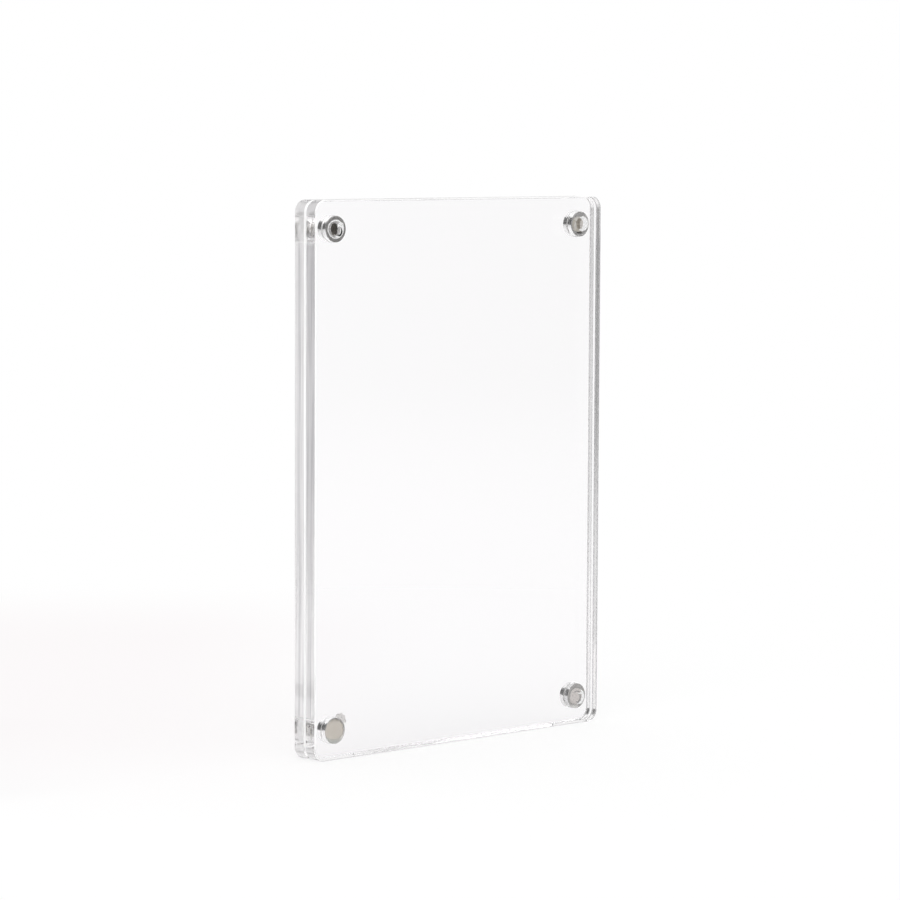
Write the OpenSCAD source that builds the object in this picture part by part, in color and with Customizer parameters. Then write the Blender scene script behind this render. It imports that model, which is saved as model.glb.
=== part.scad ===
// Magnetic photo frame: two clear acrylic panels that grip a print between them.
// Each panel has four disc magnets glued into blind pockets in its mating face.
// The frame stands on its bottom edges: X across, Y from front to back, Z up.
// The origin is on the surface it stands on, midway across and midway through.

/* [Panels] */
// Width of each panel
panel_w = 127; // [90:1:220]
// Height of each panel
panel_h = 178; // [120:1:300]
// Thickness of each panel
panel_t = 5; // [4.5:0.5:12]
// Radius of the four corners of each panel
corner_r = 4; // [2:0.5:10]
// Width of the polished bevel along every panel edge
edge_bevel = 0.3; // [0.1:0.05:0.8]
// Gap that the magnets keep between the panels for the print
print_gap = 0.2; // [0.1:0.05:0.6]

/* [Magnets] */
// Diameter of each disc magnet
magnet_d = 8; // [5:0.5:10]
// Thickness of each disc magnet
magnet_t = 3; // [2:0.25:3.75]
// Bevel around both rims of each magnet
magnet_bevel = 0.25; // [0.1:0.05:0.6]
// Distance from the panel's side to the axis of a magnet
magnet_inset_x = 9.2; // [7:0.1:14]
// Distance from the panel's top or bottom to the axis of a magnet
magnet_inset_z = 9.2; // [7:0.1:14]

/* [Pockets and adhesive] */
// Clearance all round a magnet in its pocket
pocket_clearance = 0.2; // [0.1:0.05:0.5]
// Thickness of the cured adhesive between a magnet and the floor of its pocket
adhesive_t = 0.4; // [0.2:0.05:0.8]
// Clearance all round the adhesive in its pocket
adhesive_clearance = 0.05; // [0.05:0.05:0.3]
// Size of the air bubbles in the adhesive, as a multiple of their usual size
bubble_scale = 1; // [0.6:0.1:1.2]

/* [Hidden] */
$fn = 96;

pocket_r = magnet_d / 2 + pocket_clearance;
pocket_depth = magnet_t - print_gap / 2 + adhesive_t;
adhesive_r = pocket_r - adhesive_clearance;
panel_inner = print_gap / 2;
magnet_x = panel_w / 2 - magnet_inset_x;
magnet_z = panel_h / 2 - magnet_inset_z;
mid_z = panel_h / 2;
cut = 0.5;

// Each corner: its name, then which way it lies across and up
CORNERS = [
    ["top_left", -1, 1],
    ["top_right", 1, 1],
    ["bottom_left", -1, -1],
    ["bottom_right", 1, -1],
];

// Air bubbles in the adhesive, one for each corner in the same order: its radius, then its
// place across and up from the magnet's axis, all as shares of the adhesive's radius.
// A bubble of no radius is left out.
FRONT_BUBBLES = [[0.55, -0.08, 0.05], [0.5, 0.16, 0.02], [0, 0, 0], [0.5, 0.6, -0.05]];
BACK_BUBBLES = [[0.42, 0.15, -0.1], [0, 0, 0], [0.48, -0.55, 0.15], [0.38, 0.05, 0.12]];

// Section of a slab from its middle out to an edge bevelled on both faces
function bevelled_half(reach) = [
    [0, 0],
    [reach - edge_bevel, 0],
    [reach, edge_bevel],
    [reach, panel_t - edge_bevel],
    [reach - edge_bevel, panel_t],
    [0, panel_t],
];

// Draws its children, made flat with the mating side down, upright in front of the mid plane
module upright(lift) {
    translate([0, 0, mid_z]) rotate([90, 0, 0]) translate([0, 0, lift]) children();
}

// Turns what is made for the front panel round to the back one
module to_back() {
    mirror([0, 1, 0]) children();
}

// Straight run of the bevelled section, from its middle out along +X
module slab_run(reach, length) {
    rotate([90, 0, 0]) translate([0, 0, -length / 2]) linear_extrude(length)
        polygon(bevelled_half(reach));
}

// Quarter of a disc with the bevelled rim
module slab_corner() {
    rotate_extrude(angle = 90) polygon(bevelled_half(corner_r));
}

// Flat slab with round corners and a bevel all round both faces
module bevelled_slab() {
    flat_w = panel_w - 2 * corner_r;
    flat_h = panel_h - 2 * corner_r;
    for (turn = [0, 180]) rotate(turn) {
        slab_run(panel_w / 2, flat_h);
        translate([0, flat_h / 2, 0]) rotate(90) slab_run(corner_r, flat_w);
    }
    for (corner = CORNERS) {
        quarter = corner[1] > 0 ? (corner[2] > 0 ? 0 : 270) : (corner[2] > 0 ? 90 : 180);
        translate([corner[1] * flat_w / 2, corner[2] * flat_h / 2, 0]) rotate(quarter) slab_corner();
    }
}

// Puts its children on the axis of one magnet
module at_magnet(corner) {
    translate([corner[1] * magnet_x, corner[2] * magnet_z, 0]) children();
}

// Clear panel with a blind pocket for each magnet in its mating face
module panel() {
    upright(panel_inner) difference() {
        bevelled_slab();
        for (corner = CORNERS) at_magnet(corner)
            translate([0, 0, -cut]) cylinder(r = pocket_r, h = pocket_depth + cut);
    }
}

// Nickel-plated disc, bevelled at both rims
module magnet(corner) {
    upright(0) at_magnet(corner) rotate_extrude() polygon([
        [0, 0],
        [magnet_d / 2 - magnet_bevel, 0],
        [magnet_d / 2, magnet_bevel],
        [magnet_d / 2, magnet_t - magnet_bevel],
        [magnet_d / 2 - magnet_bevel, magnet_t],
        [0, magnet_t],
    ]);
}

// Cured adhesive under a magnet, with the air bubble that was trapped in it
module adhesive(corner, bubble) {
    bubble_r = bubble[0] * bubble_scale * adhesive_r;
    upright(magnet_t) at_magnet(corner) difference() {
        cylinder(r = adhesive_r, h = adhesive_t);
        if (bubble_r > 0) translate([bubble[1] * adhesive_r, bubble[2] * adhesive_r, -cut])
            cylinder(r = bubble_r, h = adhesive_t + 2 * cut);
    }
}

module front_panel() {
    color([0.93, 0.95, 0.96, 0.35]) panel();
}

module back_panel() {
    color([0.93, 0.95, 0.96, 0.35]) to_back() panel();
}

module front_magnet(corner) {
    color([0.72, 0.70, 0.67]) magnet(corner);
}

module back_magnet(corner) {
    color([0.72, 0.70, 0.67]) to_back() magnet(corner);
}

module front_adhesive(corner, bubble) {
    color([0.88, 0.87, 0.82, 0.5]) adhesive(corner, bubble);
}

module back_adhesive(corner, bubble) {
    color([0.88, 0.87, 0.82, 0.5]) to_back() adhesive(corner, bubble);
}

front_panel();
back_panel();
for (i = [0 : len(CORNERS) - 1]) {
    name = CORNERS[i][0];
    front_magnet(CORNERS[i]);
    back_magnet(CORNERS[i]);
    front_adhesive(CORNERS[i], FRONT_BUBBLES[i]);
    back_adhesive(CORNERS[i], BACK_BUBBLES[i]);
}
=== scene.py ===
from math import cos, pi, radians, sin

import bmesh
import bpy
from mathutils import Matrix, Vector


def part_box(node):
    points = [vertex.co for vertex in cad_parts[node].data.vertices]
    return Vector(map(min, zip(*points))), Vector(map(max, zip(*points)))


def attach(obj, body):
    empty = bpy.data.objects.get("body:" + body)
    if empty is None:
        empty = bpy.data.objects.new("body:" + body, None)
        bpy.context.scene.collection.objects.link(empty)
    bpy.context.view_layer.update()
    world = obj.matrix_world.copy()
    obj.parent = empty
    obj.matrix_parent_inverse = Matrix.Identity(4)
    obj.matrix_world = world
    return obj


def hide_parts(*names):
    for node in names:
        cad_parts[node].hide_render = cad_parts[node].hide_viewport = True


bl_info = {
    "name": "Magnetic photo frame",
    "version": (1, 0, 0),
    "blender": (4, 5, 0),
    "location": "View3D > Sidebar > Photo Frame",
    "description": "Two clear acrylic panels held together by disc magnets glued into their corners",
    "category": "Add Mesh",
}

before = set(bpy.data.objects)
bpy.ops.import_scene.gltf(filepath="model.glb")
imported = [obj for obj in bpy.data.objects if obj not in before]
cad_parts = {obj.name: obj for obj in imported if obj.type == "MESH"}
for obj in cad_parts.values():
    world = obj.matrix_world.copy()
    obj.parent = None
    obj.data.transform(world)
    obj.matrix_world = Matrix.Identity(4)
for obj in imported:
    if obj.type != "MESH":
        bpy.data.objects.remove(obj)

SIDES = ("front", "back")
CORNERS = ("top_left", "top_right", "bottom_left", "bottom_right")
OPPOSITE = dict(zip(CORNERS, reversed(CORNERS)))


def middle(node):
    """Middle of a node of the model at rest."""
    low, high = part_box(node)
    return (low + high) / 2


def extent(node):
    """Size of a node of the model along X, Y and Z."""
    low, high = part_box(node)
    return high - low


def depth_of(side, y):
    """How far a plane of the model lies from the mid plane, on its own side of it."""
    return -y if side == "front" else y


PANEL = extent("front_panel")
PANEL_INNER = depth_of("front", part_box("front_panel")[1].y)
PANEL_SIDE = PANEL.x / 2
PANEL_MIDDLE = PANEL.z / 2
DISC = extent("front_magnet_bottom_left")
DISC_ASIDE = -middle("front_magnet_bottom_left").x
DISC_FROM_MIDDLE = PANEL_MIDDLE - middle("front_magnet_bottom_left").z
GLUE = extent("front_adhesive_bottom_left")
GLUE_FLOOR = depth_of("front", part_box("front_adhesive_bottom_left")[0].y)
POCKET_CLEARANCE = 0.00005

CORNER_SEGMENTS = 24
ROUND_SEGMENTS = 128
GLUE_SEGMENTS = 96
RIM_SEGMENTS = 4
FLOOR_SEGMENTS = 64
FLOOR_RADIUS = 4.0
SHARP_ANGLE = radians(30)
SENSOR_WIDTH = 36

ACRYLIC_IOR = 1.49
AIR_IOR = 1.0

# Level directions from the frame: the photographer's line of sight and left hand, the darker parts
# of the studio on the photographer's right and behind the frame, and where painted shade dims the floor
SIGHT = (0.682, 0.731)
LEFT_HAND = (-0.731, 0.682)
DARK_RIGHT = (0.68, -0.73)
DARK_BEHIND = (-0.78, 0.62, 0.35)
DIM_BEHIND = (-0.866, 0.5)


# Settings


class PanelSettings(bpy.types.PropertyGroup):
    """Sizes and colour of the clear panels"""

    corner_radius: bpy.props.FloatProperty(
        name="Corner radius", description="Radius of the four corners of each panel",
        default=0.004, min=0.001, max=0.01, subtype="DISTANCE", unit="LENGTH")
    bevel: bpy.props.FloatProperty(
        name="Bevel", description="Width of the polished bevel round the outer face",
        default=0.0003, min=0.0001, max=0.001, precision=5, subtype="DISTANCE", unit="LENGTH")
    mating_bevel: bpy.props.FloatProperty(
        name="Mating bevel", description="Width of the polished bevel round the mating face",
        default=0.00042, min=0.0001, max=0.001, precision=5, subtype="DISTANCE", unit="LENGTH")
    pocket_bevel: bpy.props.FloatProperty(
        name="Pocket bevel", description="Width of the bevel at the mouth of each pocket",
        default=0.00018, min=0.00002, max=0.0006, precision=5, subtype="DISTANCE", unit="LENGTH")
    draft: bpy.props.FloatProperty(
        name="Draft", description="How far the cut edges lean in from the outer face to the mating one",
        default=0.00012, min=0.0, max=0.0003, precision=5, subtype="DISTANCE", unit="LENGTH")
    tint: bpy.props.FloatVectorProperty(
        name="Tint", description="Colour that light takes on in the acrylic",
        default=(0.988, 0.984, 0.988), min=0.0, max=1.0, subtype="COLOR")


class MagnetSettings(bpy.types.PropertyGroup):
    """Sizes and colour of the disc magnets"""

    rim_bevel: bpy.props.FloatProperty(
        name="Rim bevel", description="Radius of the rounded rims of each disc",
        default=0.00025, min=0.0001, max=0.0006, precision=5, subtype="DISTANCE", unit="LENGTH")
    plating: bpy.props.FloatVectorProperty(
        name="Plating", description="Colour of the nickel plating",
        default=(0.67, 0.63, 0.585), min=0.0, max=1.0, subtype="COLOR")


class AdhesiveSettings(bpy.types.PropertyGroup):
    """Sizes and colour of the cured adhesive"""

    film: bpy.props.FloatProperty(
        name="Film", description="Air between the adhesive and what it touches, so that the faces stay apart",
        default=0.00001, min=0.000001, max=0.00005, precision=6, subtype="DISTANCE", unit="LENGTH")
    tint: bpy.props.FloatVectorProperty(
        name="Tint", description="Colour of the cured adhesive",
        default=(0.97, 0.96, 0.93), min=0.0, max=1.0, subtype="COLOR")


class StageSettings(bpy.types.PropertyGroup):
    """Camera and light of the stage"""

    distance: bpy.props.FloatProperty(
        name="Distance", description="From the camera to the point that it looks at",
        default=1.181, min=0.3, max=5.0, subtype="DISTANCE", unit="LENGTH")
    turn: bpy.props.FloatProperty(
        name="Turn", description="How far to the left of the frame's front the camera stands",
        default=radians(43.01), subtype="ANGLE", unit="ROTATION")
    tilt: bpy.props.FloatProperty(
        name="Tilt", description="How far down the camera looks",
        default=radians(5.08), subtype="ANGLE", unit="ROTATION")
    roll: bpy.props.FloatProperty(
        name="Roll", description="How far the camera leans about its own axis",
        default=radians(0.26), subtype="ANGLE", unit="ROTATION")
    aim_across: bpy.props.FloatProperty(
        name="Aim across", description="Where on the front face the camera looks, from its middle",
        default=-0.0056, precision=4, subtype="DISTANCE", unit="LENGTH")
    aim_up: bpy.props.FloatProperty(
        name="Aim up", description="Where on the front face the camera looks, above the floor",
        default=0.0963, precision=4, subtype="DISTANCE", unit="LENGTH")
    lens: bpy.props.FloatProperty(
        name="Lens", description="Focal length on a 36 mm wide sensor, in millimetres",
        default=145.2, min=20.0, max=400.0)
    lamp_power: bpy.props.FloatProperty(
        name="Lamp power", description="Power of the large lamp over the stage, in watts",
        default=10.0, min=0.0, max=100.0)


class FrameSettings(bpy.types.PropertyGroup):
    """Everything that can be set on the photo frame and its stage"""

    panel: bpy.props.PointerProperty(type=PanelSettings)
    magnet: bpy.props.PointerProperty(type=MagnetSettings)
    adhesive: bpy.props.PointerProperty(type=AdhesiveSettings)
    stage: bpy.props.PointerProperty(type=StageSettings)


# Shader maths


class Signal:
    """A number from a shader node, on which plain arithmetic adds Math nodes"""

    def __init__(self, tree, socket):
        self.tree = tree
        self.socket = socket

    def maths(self, operation, *values):
        return self.tree.node("ShaderNodeMath", {"operation": operation}, dict(enumerate(values)))

    def output(self, name):
        """Another output of the node that this number comes from."""
        return Signal(self.tree, self.socket.node.outputs[name])

    def colour(self):
        """The colour output of a node that can mix numbers, vectors and colours."""
        return Signal(self.tree, next(s for s in self.socket.node.outputs if s.type == "RGBA"))

    def __add__(self, other):
        return self.maths("ADD", self, other)

    __radd__ = __add__

    def __sub__(self, other):
        return self.maths("SUBTRACT", self, other)

    def __rsub__(self, other):
        return self.maths("SUBTRACT", other, self)

    def __mul__(self, other):
        return self.maths("MULTIPLY", self, other)

    __rmul__ = __mul__

    def __truediv__(self, other):
        return self.maths("DIVIDE", self, other)

    def __pow__(self, other):
        return self.maths("POWER", self, other)

    def __abs__(self):
        return self.maths("ABSOLUTE", self)

    def below(self, other):
        """1 where this is less than the other, else 0."""
        return self.maths("LESS_THAN", self, other)

    def rise(self, start, end, low=0.0, high=1.0):
        """Eases from low to high as this goes from start to end."""
        return self.tree.node(
            "ShaderNodeMapRange", {"interpolation_type": "SMOOTHSTEP"},
            {"Value": self, "From Min": start, "From Max": end, "To Min": low, "To Max": high})


class Tree:
    """Builds the nodes of one material or of the world"""

    def __init__(self, owner):
        owner.use_nodes = True
        self.nodes = owner.node_tree.nodes
        self.links = owner.node_tree.links
        self.nodes.clear()

    def node(self, kind, settings=None, values=None):
        """Adds a node with its settings, then the values or links of its sockets."""
        made = self.nodes.new(kind)
        for key, value in (settings or {}).items():
            setattr(made, key, value)
        for key, value in (values or {}).items():
            if isinstance(value, Signal):
                self.links.new(value.socket, made.inputs[key])
            else:
                made.inputs[key].default_value = value
        return Signal(self, next((s for s in made.outputs if s.enabled), None) if made.outputs else None)

    def place(self, centre=(0, 0, 0), scale=(1, 1, 1)):
        """Object coordinates about a centre, each axis times its scale."""
        seen = self.node("ShaderNodeTexCoord").output("Object")
        moved = self.node("ShaderNodeVectorMath", {"operation": "SUBTRACT"}, {0: seen, 1: centre})
        return self.node("ShaderNodeVectorMath", {"operation": "MULTIPLY"}, {0: moved, 1: scale})

    def axes(self, vector):
        x = self.node("ShaderNodeSeparateXYZ", None, {0: vector})
        return x, x.output("Y"), x.output("Z")

    def noise(self, vector, scale, detail=2.0):
        return self.node("ShaderNodeTexNoise", None, {"Vector": vector, "Scale": scale, "Detail": detail})

    def blend(self, share, first, second):
        """Mixes two colours."""
        return self.node(
            "ShaderNodeMix", {"data_type": "RGBA"}, {"Factor": share, 6: first, 7: second}).colour()

    def multiply(self, first, second):
        """Multiplies two colours."""
        return self.node(
            "ShaderNodeMix", {"data_type": "RGBA", "blend_type": "MULTIPLY"},
            {"Factor": 1.0, 6: first, 7: second}).colour()

    def principled(self, values):
        return self.node("ShaderNodeBsdfPrincipled", None, values)

    def bump(self, height, distance, strength=1.0):
        return self.node(
            "ShaderNodeBump", None, {"Height": height, "Distance": distance, "Strength": strength})

    def mix(self, share, first, second):
        """Mixes two shaders."""
        return self.node("ShaderNodeMixShader", None, {0: share, 1: first, 2: second})

    def surface(self, shader):
        self.node("ShaderNodeOutputMaterial", None, {"Surface": shader})


def rgba(colour, share=1.0):
    """Colour for a socket, darkened to a share of itself."""
    return (*[share * part for part in colour], 1)


def grey(level):
    return (level, level, level, 1)


WHITE = grey(1)
FAINT_GLOSS = grey(0.12)


def along(direction, *axes):
    """How far a place lies along a direction, from its coordinates."""
    return sum(share * axis for share, axis in zip(direction, axes))


# Finishes


def new_material(name):
    material = bpy.data.materials.new(name)
    return material, Tree(material)


def acrylic(tree, colour, roughness, normal):
    """Clear cast acrylic or adhesive. The faint gloss leaves them as clear as they look in soft light."""
    return tree.principled({
        "Base Color": colour,
        "Roughness": roughness,
        "IOR": ACRYLIC_IOR,
        "Transmission Weight": 1.0,
        "Specular Tint": FAINT_GLOSS,
        "Normal": normal,
    })


def frost(tree, colour):
    """Fine scratches that scatter the light passing through them."""
    return tree.principled({
        "Base Color": colour,
        "Roughness": 0.7,
        "IOR": ACRYLIC_IOR,
        "Transmission Weight": 1.0,
    })


def clear_face(settings):
    """Cast acrylic as it leaves the mould, with the faintest waviness, and painted light that clears its tint
    towards the top, so that it is lighter there.
    """
    material, tree = new_material("acrylic_face")
    wave = tree.noise(tree.place(), 60.0, 1.0)
    # Painted light: the tint fades out above the lower part, so the face is lighter towards the top
    height = tree.axes(tree.place())[2].rise(0.03, 0.11)
    colour = tree.blend(height + 0.2 * (wave - 0.5), rgba(settings.panel.tint), (1, 0.997, 1, 1))
    tree.surface(acrylic(tree, colour, 0.0, tree.bump(wave, 0.00002, 0.2)))
    return material


def polished_edge(settings):
    """Cut and flame-polished edge of the sheet: clear, with a bump of streaks along it. Its colour holds
    painted shade in grey streaks and two lines along it, heavier on the front panel and higher up and
    lighter beside the magnets and towards the ends; it shows on the left and where the edge is scratched.
    On the left it is dull between the magnets and chalky above the lower ones."""
    material, tree = new_material("acrylic_edge")
    x, y, z = tree.axes(tree.place())
    from_middle = abs(z - PANEL_MIDDLE)
    left = (x + PANEL_SIDE).rise(0.001, 0.005, 1.0, 0.0)
    beside_magnets = abs(from_middle - DISC_FROM_MIDDLE).rise(0.0035, 0.0055, 1.0, 0.0)
    # corner: the painted shade fades out towards the top and bottom ends
    corner = from_middle.rise(DISC_FROM_MIDDLE, 0.083, 0.0, 0.8)
    streaks = tree.noise(tree.place(scale=(0.015, 1.0, 0.015)), 1800.0, 2.0)
    # Painted shade: two lines along the edge, one in each panel
    back_shade_line = abs(y - 0.0027).rise(0.0002, 0.0009, 1.0, 0.0)
    front_shade_line = abs(y + 0.0028).rise(0.0002, 0.0007, 0.3, 0.0)
    # Painted shade: heavier on the front panel, the more so higher up
    front = y.rise(-0.0003, 0.0003, 1.0, 0.0) * z.rise(0.02, 0.1, 0.1, 1.0)
    painted_shade = 0.35 * (back_shade_line + front_shade_line) + 0.4 * front + streaks.rise(0.35, 0.65, 0.3, -0.1)
    painted_shade = painted_shade * (1.0 - 0.8 * beside_magnets) * (1.0 - corner)
    # Painted shade: the grey stands for the dimmer studio seen through the edge
    tone = tree.blend(painted_shade, (1, 0.985, 0.99, 1), (0.31, 0.3, 0.33, 1))
    colour = tree.blend(left, (0.99, 0.98, 0.99, 1), tone)
    clear = acrylic(tree, colour, 0.03, tree.bump(streaks, 0.00002, 0.05))
    right = x.rise(0.0575, 0.0605) * abs(abs(y) - 0.0025).rise(0.0002, 0.0015, 0.08, 0.8)
    worn = 0.75 - 0.45 * beside_magnets - 0.2 * (beside_magnets * y.below(0.0))
    worn = worn * (z.rise(0.02, 0.1, 0.25, 1.0) + z.rise(0.022, 0.045, 0.4, 0.0))
    scratched = tree.mix(left * worn + right, clear, frost(tree, tone))
    chalk = tree.principled({"Base Color": tone, "Roughness": 0.5})
    chalky = left * z.rise(0.0134, 0.0142) * z.rise(0.03, 0.06, 0.6, 0.0)
    tree.surface(tree.mix(chalky, scratched, chalk))
    return material


def cut_bevel(settings):
    """Narrow polished bevel, dull on the left, with a painted contact shadow in grey where it stands.
    The seam doesn't show under the magnets, which pull it closed."""
    material, tree = new_material("acrylic_bevel")
    x, y, z = tree.axes(tree.place())
    grain = tree.noise(tree.place(scale=(0.03, 1.0, 0.03)), 1500.0, 2.0)
    tone = tree.blend(grain, grey(0.98), WHITE)
    # Painted shadow: the outer bevels turn grey along the floor
    painted_contact_shadow = z.rise(0.0003, 0.0006, 1.0, 0.0) * abs(y).rise(0.003, 0.004)
    roughness = z.rise(0.001, 0.0015, 0.18, 0.1)
    clear = acrylic(tree, tree.blend(painted_contact_shadow, tone, grey(0.5)), roughness, tree.bump(grain, 0.00001, 0.05))
    dull = tree.principled({"Base Color": tone, "Roughness": 0.5})
    left = (x + PANEL_SIDE).rise(0.003, 0.005, 1.0, 0.0) * z.rise(0.002, 0.005)
    worn = tree.mix(left * grain.rise(0.3, 0.7, 0.65, 0.9), clear, dull)
    closed = tree.principled({
        "Base Color": tone,
        "Roughness": 0.0,
        "IOR": AIR_IOR,
        "Transmission Weight": 1.0,
        "Specular Tint": grey(0),
    })
    below_magnets = abs(abs(x) - DISC_ASIDE).rise(0.009, 0.01, 1.0, 0.0) * z.rise(0.001, 0.0015, 1.0, 0.0)
    seam = below_magnets * abs(y).rise(0.001, 0.0015, 1.0, 0.0)
    tree.surface(tree.mix(seam, worn, closed))
    return material


def pocket_wall(settings):
    """Milled pocket with faint rings from the cutter. Its wall is clear in the left corners and rough
    in the right ones."""
    material, tree = new_material("acrylic_pocket")
    x, y, z = tree.axes(tree.place())
    rings = tree.noise(tree.place(), 3000.0, 2.0)
    ripple = tree.noise(tree.place(scale=(1.0, 1.6, 1.0)), 800.0, 1.0)
    front, bottom = y.below(0.0), z.below(PANEL_MIDDLE)
    right_wall = (1.0 - x.below(0.0)) * abs(y).below(GLUE_FLOOR - POCKET_CLEARANCE)
    rough = right_wall * (0.15 * (1.0 - front) + 0.35 * (front * bottom))
    colour = tree.blend(rings, grey(0.96), WHITE)
    clear = acrylic(tree, colour, 0.02, tree.bump(0.2 * rings + ripple, 0.0002, 0.5))
    tree.surface(tree.mix(rough + rings.rise(0.4, 0.7, 0.0, 0.1), clear, frost(tree, grey(0.9))))
    return material


def nickel(settings):
    """Nickel plating with a fine grain."""
    material, tree = new_material("nickel_face")
    grain = tree.noise(tree.place(), 2500.0, 3.0)
    plating = settings.magnet.plating
    tree.surface(tree.principled({
        "Base Color": tree.blend(grain, rgba(plating, 0.9), rgba(plating)),
        "Metallic": 1.0,
        "Roughness": grain.rise(0.3, 0.7, 0.08, 0.16),
        "Normal": tree.bump(grain, 0.00002, 0.15),
    }))
    return material


def smeared_nickel(settings):
    """Nickel plating on the wall of a magnet, with streaks of adhesive that crept up it, and painted shade
    that takes the plating down to a third of its colour in places, between plating lightened to near white.
    """
    material, tree = new_material("nickel_wall")
    grain = tree.noise(tree.place(), 2500.0, 3.0)
    smear = tree.noise(tree.place(scale=(1.0, 1.5, 0.6)), 900.0, 2.0)
    # Painted shade: the plating at a third of its colour
    shaded_plating = rgba(settings.magnet.plating, 0.3)
    bare = tree.principled({
        "Base Color": tree.blend(smear.rise(0.3, 0.5), shaded_plating, (0.95, 0.94, 0.92, 1)),
        "Metallic": 1.0,
        "Roughness": grain.rise(0.3, 0.7, 0.1, 0.2),
        "Normal": tree.bump(smear, 0.0004, 1.0),
    })
    streaked = tree.principled({
        "Base Color": tree.blend(grain, (0.85, 0.84, 0.82, 1), WHITE),
        "Roughness": 0.4,
    })
    tree.surface(tree.mix(smear.rise(0.43, 0.53, 0.0, 0.9), bare, streaked))
    return material


# Marks that the adhesive shows over each magnet, partly cloudy adhesive and partly painted light: the
# near-black ones are painted reflections of the dim studio in the magnet, and the white ones are painted
# highlights. As shares of its radius from its axis: the colour, how much of the magnet they cover, an
# oval (across, up, half width, half height), and the oval that is left out of it.
NO_HOLE = (0, 0, 0, 0)
GLUE_AND_REFLECTION_MARKS = {
    "top_left": (
        ((0.27, 0.265, 0.26), 0.95, (0.0, 0.0, 1.0, 1.0), (0.0, -0.01, 0.80, 0.70)),
        ((1.0, 1.0, 1.0), 0.97, (0.0, -0.01, 0.82, 0.71), (-0.02, -0.02, 0.70, 0.62)),
        ((0.56, 0.55, 0.55), 0.9, (-0.02, -0.02, 0.70, 0.62), (-0.16, 0.0, 0.36, 0.49)),
        ((1.0, 1.0, 1.0), 0.97, (0.50, 0.27, 0.30, 0.24), (0.42, -0.05, 0.3, 0.24)),
        ((1.0, 1.0, 1.0), 0.97, (0.25, -0.18, 0.50, 0.46), (0.06, -0.02, 0.40, 0.50)),
        ((0.05, 0.05, 0.05), 0.95, (0.36, -0.2, 0.32, 0.36), (0.24, -0.10, 0.30, 0.36)),
    ),
    "top_right": (
        ((0.42, 0.415, 0.41), 0.95, (0.0, 0.0, 1.0, 1.0), (0.1, 0.0, 0.88, 0.62)),
        ((0.56, 0.53, 0.47), 0.9, (-0.25, 0.0, 0.62, 0.62), NO_HOLE),
        ((0.72, 0.7, 0.66), 0.8, (-0.2, 0.42, 0.45, 0.2), NO_HOLE),
        ((0.72, 0.7, 0.66), 0.8, (-0.5, -0.12, 0.14, 0.3), NO_HOLE),
        ((0.1, 0.095, 0.09), 0.9, (-0.05, -0.70, 0.32, 0.08), NO_HOLE),
        ((1.0, 1.0, 1.0), 0.98, (0.30, 0.02, 0.64, 0.60), (-0.08, 0.05, 0.42, 0.46)),
        ((0.34, 0.31, 0.265), 0.9, (-0.08, 0.02, 0.34, 0.44), NO_HOLE),
        ((0.66, 0.63, 0.6), 0.9, (0.15, -0.04, 0.15, 0.36), NO_HOLE),
    ),
    "bottom_left": (
        ((0.24, 0.23, 0.22), 0.9, (0.0, 0.0, 1.0, 1.0), (-0.03, -0.05, 0.98, 0.975)),
        ((0.7, 0.71, 0.68), 0.6, (0.0, 0.0, 1.0, 1.0), (0.0, 0.45, 1.3, 1.15)),
        ((0.9, 0.88, 0.86), 0.6, (1.05, 1.1, 0.75, 0.75), (0.0, 0.0, 1.1, 1.1)),
    ),
    "bottom_right": (
        ((0.46, 0.45, 0.44), 0.9, (0.0, 0.0, 1.0, 1.0), (0.02, -0.06, 0.84, 0.70)),
        ((0.8, 0.79, 0.77), 0.7, (-0.25, -0.84, 0.5, 0.16), NO_HOLE),
        ((0.3, 0.29, 0.285), 0.9, (-0.04, -0.03, 0.80, 0.72), (0.0, -0.05, 0.78, 0.69)),
        ((0.76, 0.72, 0.7), 0.85, (-0.04, -0.02, 0.72, 0.66), NO_HOLE),
        ((0.40, 0.39, 0.38), 0.9, (0.22, -0.2, 0.30, 0.42), (0.1, -0.08, 0.28, 0.40)),
        ((0.42, 0.41, 0.4), 0.8, (0.05, 0.28, 0.34, 0.14), (0.0, 0.2, 0.36, 0.14)),
        ((1.0, 1.0, 1.0), 0.98, (0.36, -0.12, 0.54, 0.60), (0.12, -0.02, 0.50, 0.60)),
        ((1.0, 1.0, 1.0), 0.98, (0.5, 0.22, 0.35, 0.12), (0.3, 0.32, 0.3, 0.12)),
    ),
}


def oval(tree, across, up, shape, wobble):
    """1 inside an oval, easing to 0 across its rim."""
    x, z, half_width, half_height = shape
    if not half_width:
        return 0.0
    reach = (((across - x) / half_width) ** 2 + ((up - z) / half_height) ** 2) ** 0.5
    return (reach + wobble).rise(0.94, 1.06, 1.0, 0.0)


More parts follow.
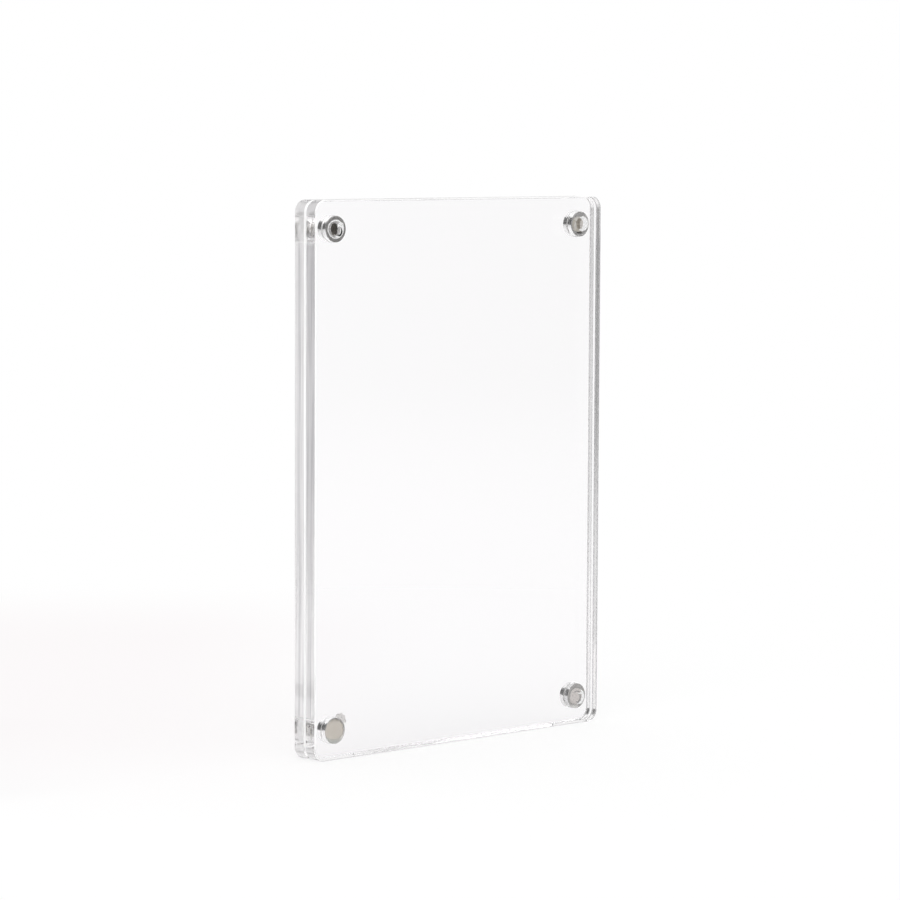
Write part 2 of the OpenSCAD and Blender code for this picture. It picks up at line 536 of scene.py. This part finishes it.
def cured_adhesive(settings, side, corner):
    """Clear cured adhesive, cloudy where it shrank away from the magnet, and with painted reflections and
    highlights of the magnet over it. These marked parts catch the same soft light on either side of the
    frame, so their normal leans up and to the left and they show their colour much as it is written."""
    material, tree = new_material(f"adhesive_{side}_{corner}")
    share = 2 / GLUE.x
    centred = tree.place(centre=middle(f"{side}_magnet_{corner}"), scale=(share, share, share))
    across, _, up = tree.axes(centred)
    cloud = tree.noise(tree.place(), 900.0, 3.0)
    wobble = 0.25 * (cloud - 0.5)
    colour, cover = (0.9, 0.88, 0.85, 1), 0.0
    # Paints the marks: cloudy adhesive, painted reflections and painted highlights
    for tone, weight, shape, hole in GLUE_AND_REFLECTION_MARKS[corner if side == "front" else OPPOSITE[corner]]:
        mask = oval(tree, across, up, shape, wobble) * (1.0 - oval(tree, across, up, hole, wobble))
        colour = tree.blend(mask, colour, rgba(tone))
        cover = mask * (weight - cover) + cover
    tint = tree.blend(cloud, rgba(settings.adhesive.tint), WHITE)
    clear = acrylic(tree, tint, 0.02, tree.bump(cloud, 0.00001, 0.2))
    _, depth, _ = tree.axes(tree.place())
    facing = depth.rise(-0.6 * PANEL_INNER, -0.5 * PANEL_INNER, -1.0, 1.0)
    lean = tree.node("ShaderNodeCombineXYZ", None, {0: -0.4, 1: 0.85 * facing, 2: 0.35})
    mottle = tree.noise(tree.place(), 2600.0, 2.0).rise(0.35, 0.6)
    # Metal that mirrors the soft light above, showing the painted marks
    cloudy = tree.principled({
        "Base Color": tree.multiply(colour, tree.blend(mottle, grey(0.84), WHITE)),
        "Metallic": 1.0,
        "Roughness": 0.25,
        "Normal": tree.node("ShaderNodeVectorMath", {"operation": "NORMALIZE"}, {0: lean}),
    })
    tree.surface(tree.mix(cover, clear, cloudy))
    return material


# Meshes


FACE, EDGE, BEVEL, POCKET = 0, 1, 2, 3


def finish_piece(bm, name, materials):
    """Turns a bmesh into an object at the origin, smooth but for its sharp edges."""
    bmesh.ops.recalc_face_normals(bm, faces=bm.faces)
    mesh = bpy.data.meshes.new(name)
    bm.to_mesh(mesh)
    bm.free()
    for material in materials:
        mesh.materials.append(material)
    mesh.shade_smooth()
    mesh.set_sharp_from_angle(angle=SHARP_ANGLE)
    made = bpy.data.objects.new(name, mesh)
    bpy.context.scene.collection.objects.link(made)
    return made


def stand_up(bm, side, depth, across=0.0, up=0.0):
    """Turns what lies flat, with its mating side down, upright at a depth from the mid plane."""
    turn = Matrix.Rotation(radians(90), 4, "X")
    bmesh.ops.transform(bm, matrix=turn, verts=bm.verts)
    bmesh.ops.translate(bm, vec=(across, -depth, up), verts=bm.verts)
    if side == "back":
        bmesh.ops.scale(bm, vec=(1, -1, 1), verts=bm.verts)


def only(kind, geometry):
    return [g for g in geometry if isinstance(g, kind)]


def pull(bm, edges, rise, shrink=1.0, centre=(0, 0, 0)):
    """Draws a loop of edges out into a wall, along Z and towards or from its centre."""
    made = bmesh.ops.extrude_edge_only(bm, edges=edges)["geom"]
    points = only(bmesh.types.BMVert, made)
    bmesh.ops.translate(bm, vec=(0, 0, rise), verts=points)
    about = Matrix.Translation(-Vector(centre))
    bmesh.ops.scale(bm, vec=(shrink, shrink, 1), space=about, verts=points)
    for face in only(bmesh.types.BMFace, made):
        face.smooth = True
    return only(bmesh.types.BMEdge, made), only(bmesh.types.BMFace, made)


def ring(bm, radius, centre, segments):
    """Circle of edges lying flat."""
    points = bmesh.ops.create_circle(
        bm, cap_ends=False, segments=segments, radius=radius, matrix=Matrix.Translation(centre))["verts"]
    return list({edge for point in points for edge in point.link_edges})


def panel_mesh(settings, side):
    """Sheet with round bevelled corners and a blind pocket at each magnet."""
    bevel, mating_bevel = settings.panel.bevel, settings.panel.mating_bevel
    bm = bmesh.new()
    bmesh.ops.create_grid(bm, x_segments=1, y_segments=1, size=0.5)
    bmesh.ops.scale(bm, vec=(PANEL.x, PANEL.z, 1), verts=bm.verts)
    bmesh.ops.bevel(bm, geom=bm.verts[:], offset=settings.panel.corner_radius, offset_type="OFFSET",
                    affect="VERTICES", segments=CORNER_SEGMENTS, profile=0.5, material=-1)
    bmesh.ops.translate(bm, vec=(0, 0, mating_bevel), verts=bm.verts)
    made = bmesh.ops.extrude_face_region(bm, geom=bm.faces[:])["geom"]
    outer = only(bmesh.types.BMVert, made)
    bmesh.ops.translate(bm, vec=(0, 0, PANEL.y - bevel - mating_bevel), verts=outer)
    inner = [vert for vert in bm.verts if vert not in set(outer)]
    lean = 2 * settings.panel.draft
    bmesh.ops.scale(bm, vec=(1 - lean / PANEL.x, 1 - lean / PANEL.z, 1), verts=inner)
    bmesh.ops.recalc_face_normals(bm, faces=bm.faces)
    for face in bm.faces:
        face.material_index = EDGE
    caps = [face for face in bm.faces if abs(face.normal.z) > 0.9]
    mating, outside = sorted(caps, key=lambda face: face.calc_center_median().z)
    for cap, width in ((mating, mating_bevel), (outside, bevel)):
        sloped = bmesh.ops.inset_individual(
            bm, faces=[cap], thickness=width, depth=width, use_even_offset=True)["faces"]
        for face in sloped:
            face.material_index = BEVEL
        cap.material_index = FACE
    rim = mating.edges[:]
    bmesh.ops.delete(bm, geom=[mating], context="FACES_ONLY")
    depth = GLUE_FLOOR - PANEL_INNER
    radius = GLUE.x / 2 + POCKET_CLEARANCE
    mouth = radius + settings.panel.pocket_bevel
    pockets = []
    for corner in CORNERS:
        place = middle(f"{side}_magnet_{corner}")
        centre = (place.x, place.z - PANEL_MIDDLE, 0)
        pockets.append((ring(bm, mouth, centre, ROUND_SEGMENTS), centre))
    mouths = [edge for edges, _ in pockets for edge in edges]
    filled = bmesh.ops.triangle_fill(bm, use_beauty=True, edges=rim + mouths, normal=(0, 0, -1))
    for face in only(bmesh.types.BMFace, filled["geom"]):
        face.material_index = FACE
    for edges, centre in pockets:
        edges, walls = pull(bm, edges, settings.panel.pocket_bevel, radius / mouth, centre)
        edges, more = pull(bm, edges, depth - settings.panel.pocket_bevel)
        floor = bmesh.ops.contextual_create(bm, geom=edges)["faces"]
        for face in walls + more + floor:
            face.material_index = POCKET
    stand_up(bm, side, PANEL_INNER, up=PANEL_MIDDLE)
    return bm


def magnet_mesh(settings, side, corner):
    """Disc with rounded rims."""
    place = middle(f"{side}_magnet_{corner}")
    bm = bmesh.new()
    bmesh.ops.create_cone(
        bm, cap_ends=True, segments=ROUND_SEGMENTS, radius1=DISC.x / 2, radius2=DISC.x / 2, depth=DISC.y)
    rims = [edge for edge in bm.edges if abs(edge.verts[0].co.z - edge.verts[1].co.z) < DISC.y / 2]
    bmesh.ops.bevel(bm, geom=rims, offset=settings.magnet.rim_bevel, offset_type="OFFSET",
                    affect="EDGES", segments=RIM_SEGMENTS, profile=0.5, material=-1)
    for face in bm.faces:
        face.material_index = 0 if abs(face.normal.z) > 0.8 else 1
    bmesh.ops.translate(bm, vec=(0, 0, DISC.y / 2), verts=bm.verts)
    stand_up(bm, side, 0.0, place.x, place.z)
    return bm


def slab(bm, outline, thickness):
    """Closes a flat loop of edges and draws it up into a slab."""
    bmesh.ops.contextual_create(bm, geom=outline)
    edges, _ = pull(bm, outline, thickness)
    bmesh.ops.contextual_create(bm, geom=edges)


def smear_outline(bm):
    """Loop round the adhesive that was squeezed out of the pocket onto the mating face."""
    start, sweep, steps = radians(2), radians(64), 24
    inner, outer, swell, ripple = 0.0045, 0.0046, 0.0024, 0.0002
    inside, outside = [], []
    for step in range(steps + 1):
        share = step / steps
        angle = start + sweep * share
        reach = outer + swell * sin(pi * share) ** 0.6 + ripple * sin(9 * pi * share)
        inside.append(bm.verts.new((inner * cos(angle), inner * sin(angle), 0)))
        outside.append(bm.verts.new((reach * cos(angle), reach * sin(angle), 0)))
    points = inside + outside[::-1]
    return [bm.edges.new(pair) for pair in zip(points, points[1:] + points[:1])]


def adhesive_mesh(settings, side, corner):
    """Drop of adhesive pressed flat between a magnet and the floor of its pocket."""
    place = middle(f"{side}_magnet_{corner}")
    film = settings.adhesive.film
    bm = bmesh.new()
    slab(bm, ring(bm, GLUE.x / 2 - film, (0, 0, 0), GLUE_SEGMENTS), GLUE.y - 2 * film)
    bmesh.ops.translate(bm, vec=(0, 0, DISC.y + film), verts=bm.verts)
    if side == "front" and corner == "bottom_left":
        drop = bm.verts[:]
        slab(bm, smear_outline(bm), PANEL_INNER - 3 * film)
        smear = [vert for vert in bm.verts if vert not in set(drop)]
        bmesh.ops.translate(bm, vec=(0, 0, 2 * film), verts=smear)
    stand_up(bm, side, 0.0, place.x, place.z)
    return bm


# Operators


class PHOTOFRAME_OT_add_panels(bpy.types.Operator):
    """Add the front and the back panel of clear acrylic"""

    bl_idname = "photoframe.add_panels"
    bl_label = "Add Panels"

    def execute(self, context):
        settings = context.scene.photo_frame
        finishes = [clear_face(settings), polished_edge(settings), cut_bevel(settings), pocket_wall(settings)]
        for side in SIDES:
            piece = finish_piece(panel_mesh(settings, side), f"{side}_acrylic_sheet", finishes)
            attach(piece, side)
            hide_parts(f"{side}_panel")
        return {"FINISHED"}


class PHOTOFRAME_OT_add_magnets(bpy.types.Operator):
    """Add the nickel-plated disc magnets of both panels"""

    bl_idname = "photoframe.add_magnets"
    bl_label = "Add Magnets"

    def execute(self, context):
        settings = context.scene.photo_frame
        finishes = [nickel(settings), smeared_nickel(settings)]
        for side in SIDES:
            for corner in CORNERS:
                piece = finish_piece(magnet_mesh(settings, side, corner), f"{side}_disc_{corner}", finishes)
                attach(piece, side)
                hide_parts(f"{side}_magnet_{corner}")
        return {"FINISHED"}


class PHOTOFRAME_OT_add_adhesive(bpy.types.Operator):
    """Add the cured adhesive that holds each magnet in its pocket"""

    bl_idname = "photoframe.add_adhesive"
    bl_label = "Add Adhesive"

    def execute(self, context):
        settings = context.scene.photo_frame
        for side in SIDES:
            for corner in CORNERS:
                piece = finish_piece(
                    adhesive_mesh(settings, side, corner), f"{side}_glue_{corner}",
                    [cured_adhesive(settings, side, corner)])
                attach(piece, side)
                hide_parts(f"{side}_adhesive_{corner}")
        return {"FINISHED"}


def add_camera(settings):
    """Camera at the place that the photograph was taken from."""
    stage = settings.stage
    target = Vector((stage.aim_across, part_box("front_panel")[0].y, stage.aim_up))
    forward = Vector((sin(stage.turn) * cos(stage.tilt), cos(stage.turn) * cos(stage.tilt), -sin(stage.tilt)))
    level = Vector((cos(stage.turn), -sin(stage.turn), 0))
    upright = level.cross(forward)
    right = cos(stage.roll) * level + sin(stage.roll) * upright
    up = cos(stage.roll) * upright - sin(stage.roll) * level
    data = bpy.data.cameras.new("camera")
    data.lens = stage.lens
    data.sensor_width = SENSOR_WIDTH
    camera = bpy.data.objects.new("camera", data)
    turn = Matrix((right, up, -forward)).transposed()
    camera.matrix_world = Matrix.Translation(target - stage.distance * forward) @ turn.to_4x4()
    bpy.context.scene.collection.objects.link(camera)
    bpy.context.scene.camera = camera


def add_lamp(settings):
    """Large soft lamp over the stage, in front and to the photographer's left."""
    data = bpy.data.lights.new("overhead", "AREA")
    data.shape = "DISK"
    data.size = 1.2
    data.energy = settings.stage.lamp_power
    lamp = bpy.data.objects.new("overhead", data)
    lamp.location = (-0.9, -0.7, 1.5)
    target = Vector((0, 0, 0.05))
    lamp.rotation_euler = (target - lamp.location).to_track_quat("-Z", "Y").to_euler()
    bpy.context.scene.collection.objects.link(lamp)


def seen_clear(tree):
    """1 on rays that have met nothing but clear panels on their way from the camera, whether straight
    through or again and again inside a panel from one edge to the other."""
    path = tree.node("ShaderNodeLightPath")
    bounces = path.output("Glossy Depth")
    return (1.0 - (1.0 - bounces.below(0.5)) * bounces.below(2.5)) * path.output("Diffuse Depth").below(0.5)


def set_world():
    """White behind the object, and a studio that is bright above and grey round the horizon, with no
    light far to the photographer's right nor far behind on the left."""
    world = bpy.data.worlds.new("studio")
    bpy.context.scene.world = world
    tree = Tree(world)
    x, y, z = tree.axes(tree.node("ShaderNodeTexCoord").output("Generated"))
    right = along(DARK_RIGHT, x, y).rise(0.85, 0.97) * z.rise(0.15, 0.4, 0.92, 0.0)
    behind = along(DARK_BEHIND, x, y, z).rise(0.8, 0.92) * z.rise(0.6, 0.8, 0.9, 0.0)
    studio = z.rise(0.0, 0.5, 0.85, 1.0) * (1.0 - right) * (1.0 - behind)
    clear = seen_clear(tree)
    level = clear + (1.0 - clear) * studio
    background = tree.node("ShaderNodeBackground", None, {"Color": WHITE, "Strength": level})
    tree.node("ShaderNodeOutputWorld", None, {"Surface": background})


def floor_finish():
    """Pale matt floor that stays white behind the object and keeps its shadow. Its colour holds painted shade
    far to the photographer's right and behind the frame on the left, where the panels and magnets mirror it
    as the dim studio.
    """
    material, tree = new_material("floor")
    x, y, _ = tree.axes(tree.place())
    reach = (x * x + y * y) ** 0.5
    right = (along(DARK_RIGHT, x, y) / reach).rise(0.85, 0.97)
    behind = along(DIM_BEHIND, x, y) / reach
    far = reach.rise(0.3, 1.8)
    near = reach.rise(0.12, 0.2) * reach.rise(0.5, 1.4, 0.26, 0.12)
    dim = near * behind.rise(0.86, 0.93) + 0.5 * (behind.rise(0.93, 0.985) * reach.rise(0.4, 1.3))
    # Painted shade: the floor's colour goes dim with distance, most to the right and behind on the left
    shade = (0.93 - 0.1 * far) * (1.0 - 0.9 * (right * far)) * (1.0 - dim)
    lit = tree.node("ShaderNodeBsdfDiffuse", None, {
        "Color": tree.node("ShaderNodeCombineColor", None, {0: shade, 1: shade, 2: shade})})
    aside, beyond = along(LEFT_HAND, x, y), along(SIGHT, x, y)
    blush = aside.rise(0.0, 0.12) * abs(beyond - 0.12).rise(0.1, 0.3, 1.0, 0.0)
    white = tree.node("ShaderNodeEmission", None, {
        "Color": tree.blend(blush, WHITE, (0.97, 0.945, 0.95, 1)), "Strength": 1.0})
    clear = seen_clear(tree)
    mirrored = tree.node("ShaderNodeLightPath").output("Diffuse Depth").below(0.5) * (1.0 - clear)
    share = clear * reach.rise(0.05, 0.4, 0.85, 1.0) + mirrored * reach.rise(0.1, 0.2, 0.7, 0.0)
    tree.surface(tree.mix(share, lit, white))
    return material


class PHOTOFRAME_OT_set_stage(bpy.types.Operator):
    """Set up the floor, the light and the camera"""

    bl_idname = "photoframe.set_stage"
    bl_label = "Set Stage"

    def execute(self, context):
        settings = context.scene.photo_frame
        bm = bmesh.new()
        bmesh.ops.create_circle(bm, cap_ends=True, segments=FLOOR_SEGMENTS, radius=FLOOR_RADIUS)
        floor = finish_piece(bm, "floor", [floor_finish()])
        add_camera(settings)
        add_lamp(settings)
        set_world()
        scene = context.scene
        scene.view_settings.view_transform = "Standard"
        scene.cycles.max_bounces = 40
        scene.cycles.diffuse_bounces = 8
        scene.cycles.transmission_bounces = 40
        scene.cycles.glossy_bounces = 40
        return {"FINISHED"}


class PHOTOFRAME_PT_sidebar(bpy.types.Panel):
    """Sizes, colours and steps of the photo frame"""

    bl_idname = "PHOTOFRAME_PT_sidebar"
    bl_label = "Photo Frame"
    bl_space_type = "VIEW_3D"
    bl_region_type = "UI"
    bl_category = "Photo Frame"

    def draw(self, context):
        settings = context.scene.photo_frame
        for group, operator in (
            (settings.panel, PHOTOFRAME_OT_add_panels),
            (settings.magnet, PHOTOFRAME_OT_add_magnets),
            (settings.adhesive, PHOTOFRAME_OT_add_adhesive),
            (settings.stage, PHOTOFRAME_OT_set_stage),
        ):
            box = self.layout.box()
            for name in group.__annotations__:
                box.prop(group, name)
            box.operator(operator.bl_idname)


CLASSES = (
    PanelSettings,
    MagnetSettings,
    AdhesiveSettings,
    StageSettings,
    FrameSettings,
    PHOTOFRAME_OT_add_panels,
    PHOTOFRAME_OT_add_magnets,
    PHOTOFRAME_OT_add_adhesive,
    PHOTOFRAME_OT_set_stage,
    PHOTOFRAME_PT_sidebar,
)


def register():
    for each in CLASSES:
        bpy.utils.register_class(each)
    bpy.types.Scene.photo_frame = bpy.props.PointerProperty(type=FrameSettings)


def unregister():
    del bpy.types.Scene.photo_frame
    for each in reversed(CLASSES):
        bpy.utils.unregister_class(each)


def main():
    register()
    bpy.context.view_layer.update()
    bpy.ops.photoframe.add_panels()
    bpy.ops.photoframe.add_magnets()
    bpy.ops.photoframe.add_adhesive()
    bpy.ops.photoframe.set_stage()


if __name__ == "__main__":
    main()
